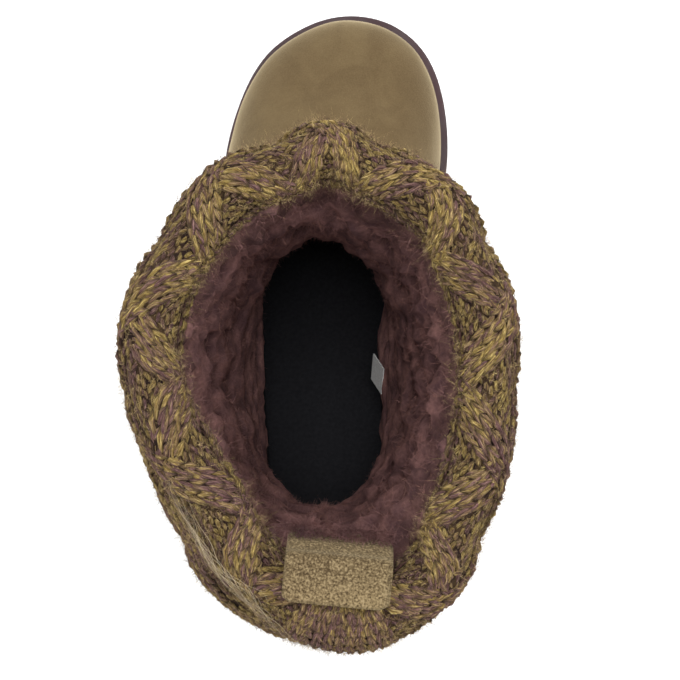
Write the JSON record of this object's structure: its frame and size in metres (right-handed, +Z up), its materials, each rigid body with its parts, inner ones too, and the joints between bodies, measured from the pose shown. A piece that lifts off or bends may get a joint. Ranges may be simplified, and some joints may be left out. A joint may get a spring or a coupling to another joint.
{
  "type": "sweater boot",
  "caption": "Left pull-on boot with a suede foot, a cable-knit shaft rolled over at the collar, a plush lining, a footbed, a pull tab and a moulded rubber sole.",
  "frame": {"origin": "Middle of the box's base: halfway along and across the boot, at floor height, where the heel and the forefoot stand.", "axes": "+X is the medial side, towards the other foot; +Y runs from heel to toe; +Z is up."},
  "size_m": [0.1242, 0.268, 0.2536],
  "materials": {
    "sole_rubber": "matte, moulded",
    "suede": "napped suede",
    "knit": "marled wool-blend cable knit",
    "plush": "curly plush pile",
    "insole_fabric": "dark matt footbed cover",
    "label_ribbon": "plain woven ribbon"
  },
  "bodies": {
    "root": {"outsole": "sole_rubber", "suede_foot": "suede", "knit_shaft": "knit", "plush_lining": "plush", "insole": "insole_fabric", "pull_tab": "suede", "inside_label": "label_ribbon"}
  },
  "joints": []
}
